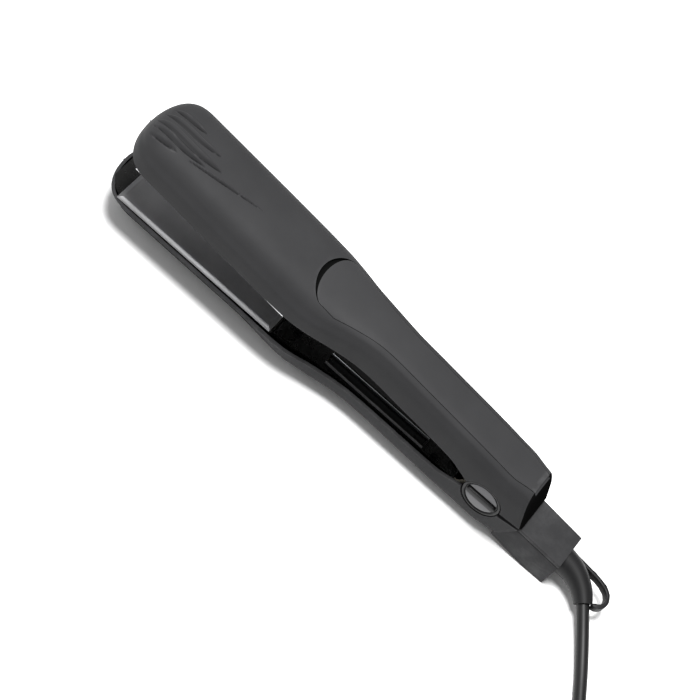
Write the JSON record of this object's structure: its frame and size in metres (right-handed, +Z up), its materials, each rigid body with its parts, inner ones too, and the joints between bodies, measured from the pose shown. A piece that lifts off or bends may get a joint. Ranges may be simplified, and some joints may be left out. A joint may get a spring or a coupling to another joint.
{
  "type": "hair crimper",
  "caption": "Handheld hair iron: two hinged arms with wide floating heated plates that press hair between them, a hinge lock, and a mains lead with strain relief and plug.",
  "frame": {"origin": "middle of the base of the box round the iron without its lead, on the table under the cord block", "axes": "+X from the plates' tip to the cord end, +Y to the side with the plain hinge cap, +Z up, from the lower arm to the upper arm"},
  "size_m": [0.4789, 0.1124, 0.0748],
  "materials": {
    "housing": "matte soft touch",
    "inlay": "matte soft touch",
    "cover_black": "semi gloss",
    "plate_metal": "coated satin",
    "heater_ceramic": "matte ceramic",
    "film": "gloss film",
    "steel": "bright",
    "silicone": "matte",
    "lead_wire": "satin",
    "cord_rubber": "satin",
    "knob_plastic": "satin",
    "pad_grey": "satin",
    "board": "gloss",
    "lens": "clear red",
    "brass": "plated"
  },
  "bodies": {
    "lower_arm": {"lower_housing": "housing", "lower_handle_panel": "inlay", "lower_inner_cover": "cover_black", "lower_cover_screws": "steel", "lower_plate_frame": "cover_black", "lower_plate_cushions": "silicone", "power_leads": "lead_wire", "switch_body": "cover_black", "light_board": "board", "light_lens": "lens", "hinge_pin": "steel", "hinge_cap": "knob_plastic", "opening_spring": "steel", "cord_block_base": "housing", "cord_block_lid": "housing", "cord_clamp": "cover_black", "cord_relief": "cord_rubber", "cord": "cord_rubber", "cord_tail": "cord_rubber", "cord_coil": "cord_rubber", "plug_body": "cord_rubber", "plug_blades": "brass"},
    "upper_arm": {"upper_housing": "housing", "upper_handle_panel": "inlay", "upper_inner_cover": "cover_black", "upper_cover_screws": "steel", "upper_plate_frame": "cover_black", "upper_plate_cushions": "silicone", "upper_leads": "lead_wire"},
    "lower_plate_carrier": {"lower_plate": "plate_metal", "lower_heater": "heater_ceramic", "lower_insulation_film": "film", "lower_heater_clip": "steel", "lower_thermal_fuse": "steel"},
    "upper_plate_carrier": {"upper_plate": "plate_metal", "upper_heater": "heater_ceramic", "upper_insulation_film": "film", "upper_heater_clip": "steel", "upper_thermal_fuse": "steel"},
    "lock": {"lock_knob": "knob_plastic", "lock_knob_pads": "pad_grey", "lock_cam": "steel"},
    "switch": {"switch_slider": "knob_plastic"}
  },
  "joints": [
    {"name": "arm_hinge", "type": "hinge", "parent": "lower_arm", "child": "upper_arm", "pos_m": [0.096, 0, 0.026], "axis": [0, 1, 0], "range_deg": [-6.6, 0], "stiffness_Nm_per_rad": 0.9, "springref_deg": 17.19, "deforming": ["opening_spring"]},
    {"name": "lower_plate_float", "type": "slide", "parent": "lower_arm", "child": "lower_plate_carrier", "axis": [0, 0, -1], "range_m": [0, 0.0009], "stiffness_N_per_m": 3000, "springref_m": -0.0004, "deforming": ["lower_plate_cushions"]},
    {"name": "upper_plate_float", "type": "slide", "parent": "upper_arm", "child": "upper_plate_carrier", "axis": [0.1149, 0, 0.9934], "range_m": [0, 0.0009], "stiffness_N_per_m": 3000, "springref_m": -0.0004, "deforming": ["upper_plate_cushions"]},
    {"name": "lock_knob_turn", "type": "hinge", "parent": "lower_arm", "child": "lock", "pos_m": [0.096, -0.0133, 0.026], "axis": [0, 1, 0], "range_deg": [0, 90]},
    {"name": "power_switch_slide", "type": "slide", "parent": "lower_arm", "child": "switch", "axis": [1, 0, 0], "range_m": [0, 0.007]}
  ]
}
